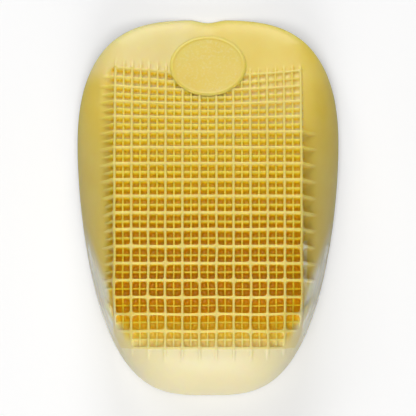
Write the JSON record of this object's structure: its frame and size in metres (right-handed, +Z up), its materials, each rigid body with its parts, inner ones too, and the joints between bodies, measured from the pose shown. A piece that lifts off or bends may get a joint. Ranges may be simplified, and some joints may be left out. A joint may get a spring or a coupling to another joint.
{
  "type": "heel cup",
  "caption": "Moulded yellow rubber heel cup with a waffle of crossed ribs on its outer side, lying on its rim.",
  "frame": {"origin": "on the surface that the cup lies on, under the middle of its outline's box", "axes": "+Z up out of the waffle side, +Y towards the thin front lip, +X across the cup"},
  "size_m": [0.072, 0.1039, 0.0259],
  "materials": {
    "yellow_rubber": "satin"
  },
  "bodies": {
    "root": {"heel_cup": "yellow_rubber"}
  },
  "joints": []
}
